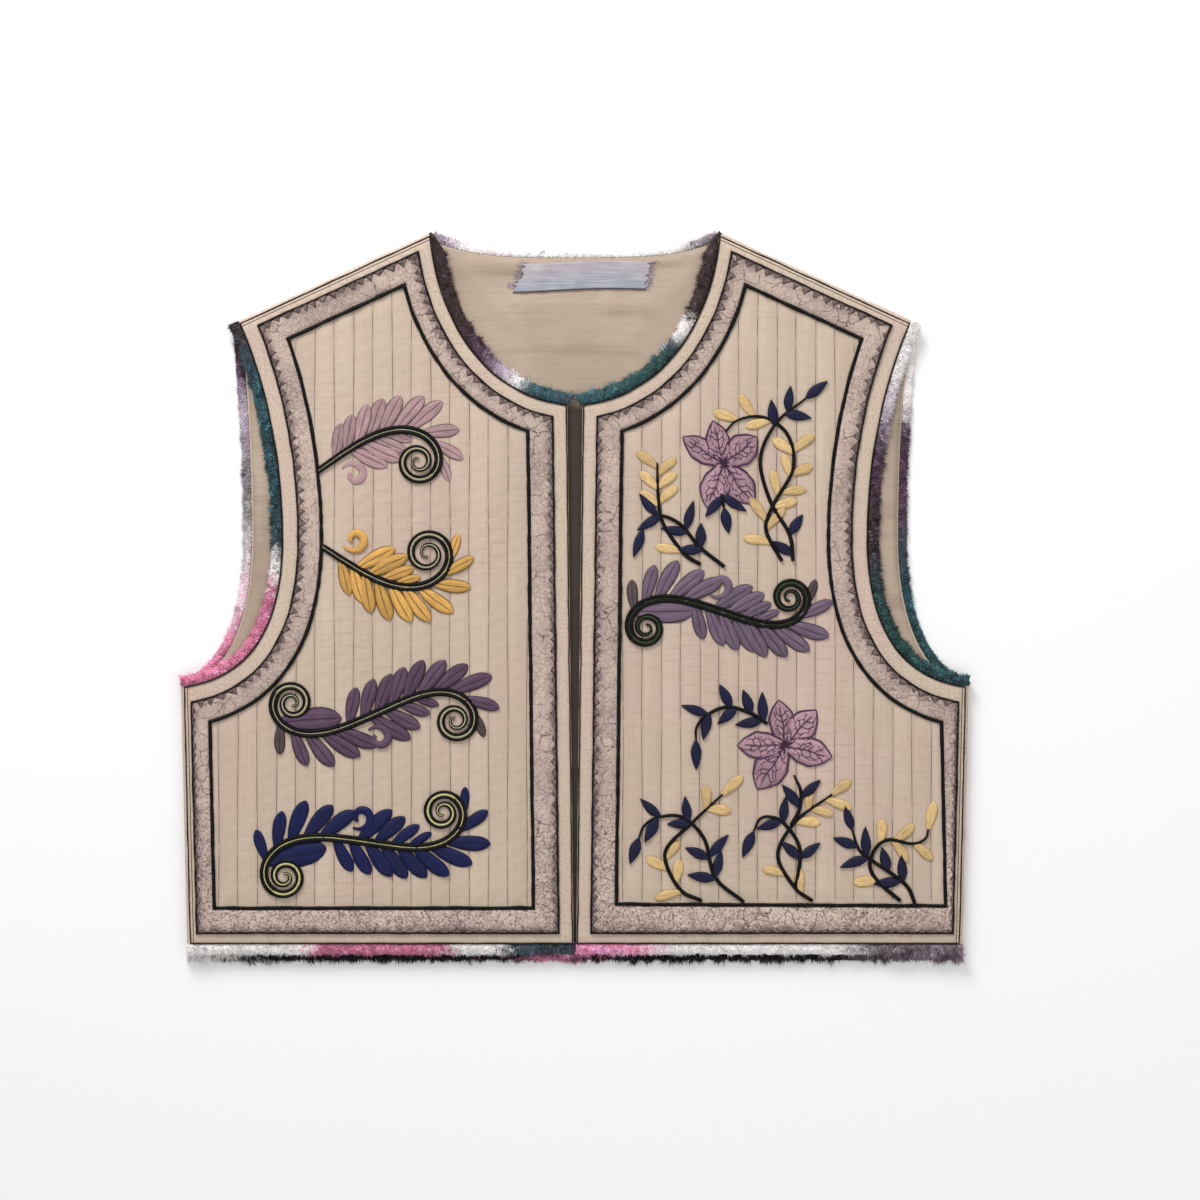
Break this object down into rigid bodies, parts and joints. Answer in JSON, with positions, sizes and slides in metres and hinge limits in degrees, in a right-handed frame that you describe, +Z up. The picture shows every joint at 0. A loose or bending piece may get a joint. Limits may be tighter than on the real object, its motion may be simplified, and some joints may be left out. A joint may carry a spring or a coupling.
{
  "type": "waistcoat",
  "caption": "Open-fronted sleeveless waistcoat of quilted cloth, laid flat, with a banded border, raised scroll, leaf and flower embroidery and pile edging.",
  "frame": {"origin": "middle of the garment's footprint, on the surface it lies on", "axes": "+Z up out of the face of the garment, +Y from the hem to the neck, +X towards the wearer's left side"},
  "size_m": [0.5038, 0.4692, 0.0103],
  "materials": {
    "quilted_cloth": "matte woven, quilted",
    "lining_cloth": "matte woven",
    "border_band": "matte, crackled",
    "black_cord": "satin cord",
    "yarn_pile": "brushed pile",
    "label_tape": "worn satin tape"
  },
  "bodies": {
    "root": {"back": "quilted_cloth", "front_left": "quilted_cloth", "front_right": "quilted_cloth", "back_lining": "lining_cloth", "neck_label": "label_tape", "border_band_left": "border_band", "border_band_right": "border_band", "border_cord_inner_left": "black_cord", "border_cord_inner_right": "black_cord", "border_cord_outer_left": "black_cord", "border_cord_outer_right": "black_cord", "neck_pile_left": "yarn_pile", "neck_pile_right": "yarn_pile", "neck_pile_back": "yarn_pile", "armhole_pile_left": "yarn_pile", "armhole_pile_right": "yarn_pile", "armhole_pile_back_left": "yarn_pile", "armhole_pile_back_right": "yarn_pile", "hem_pile_left": "yarn_pile", "hem_pile_right": "yarn_pile", "hem_pile_back": "yarn_pile"}
  },
  "joints": []
}
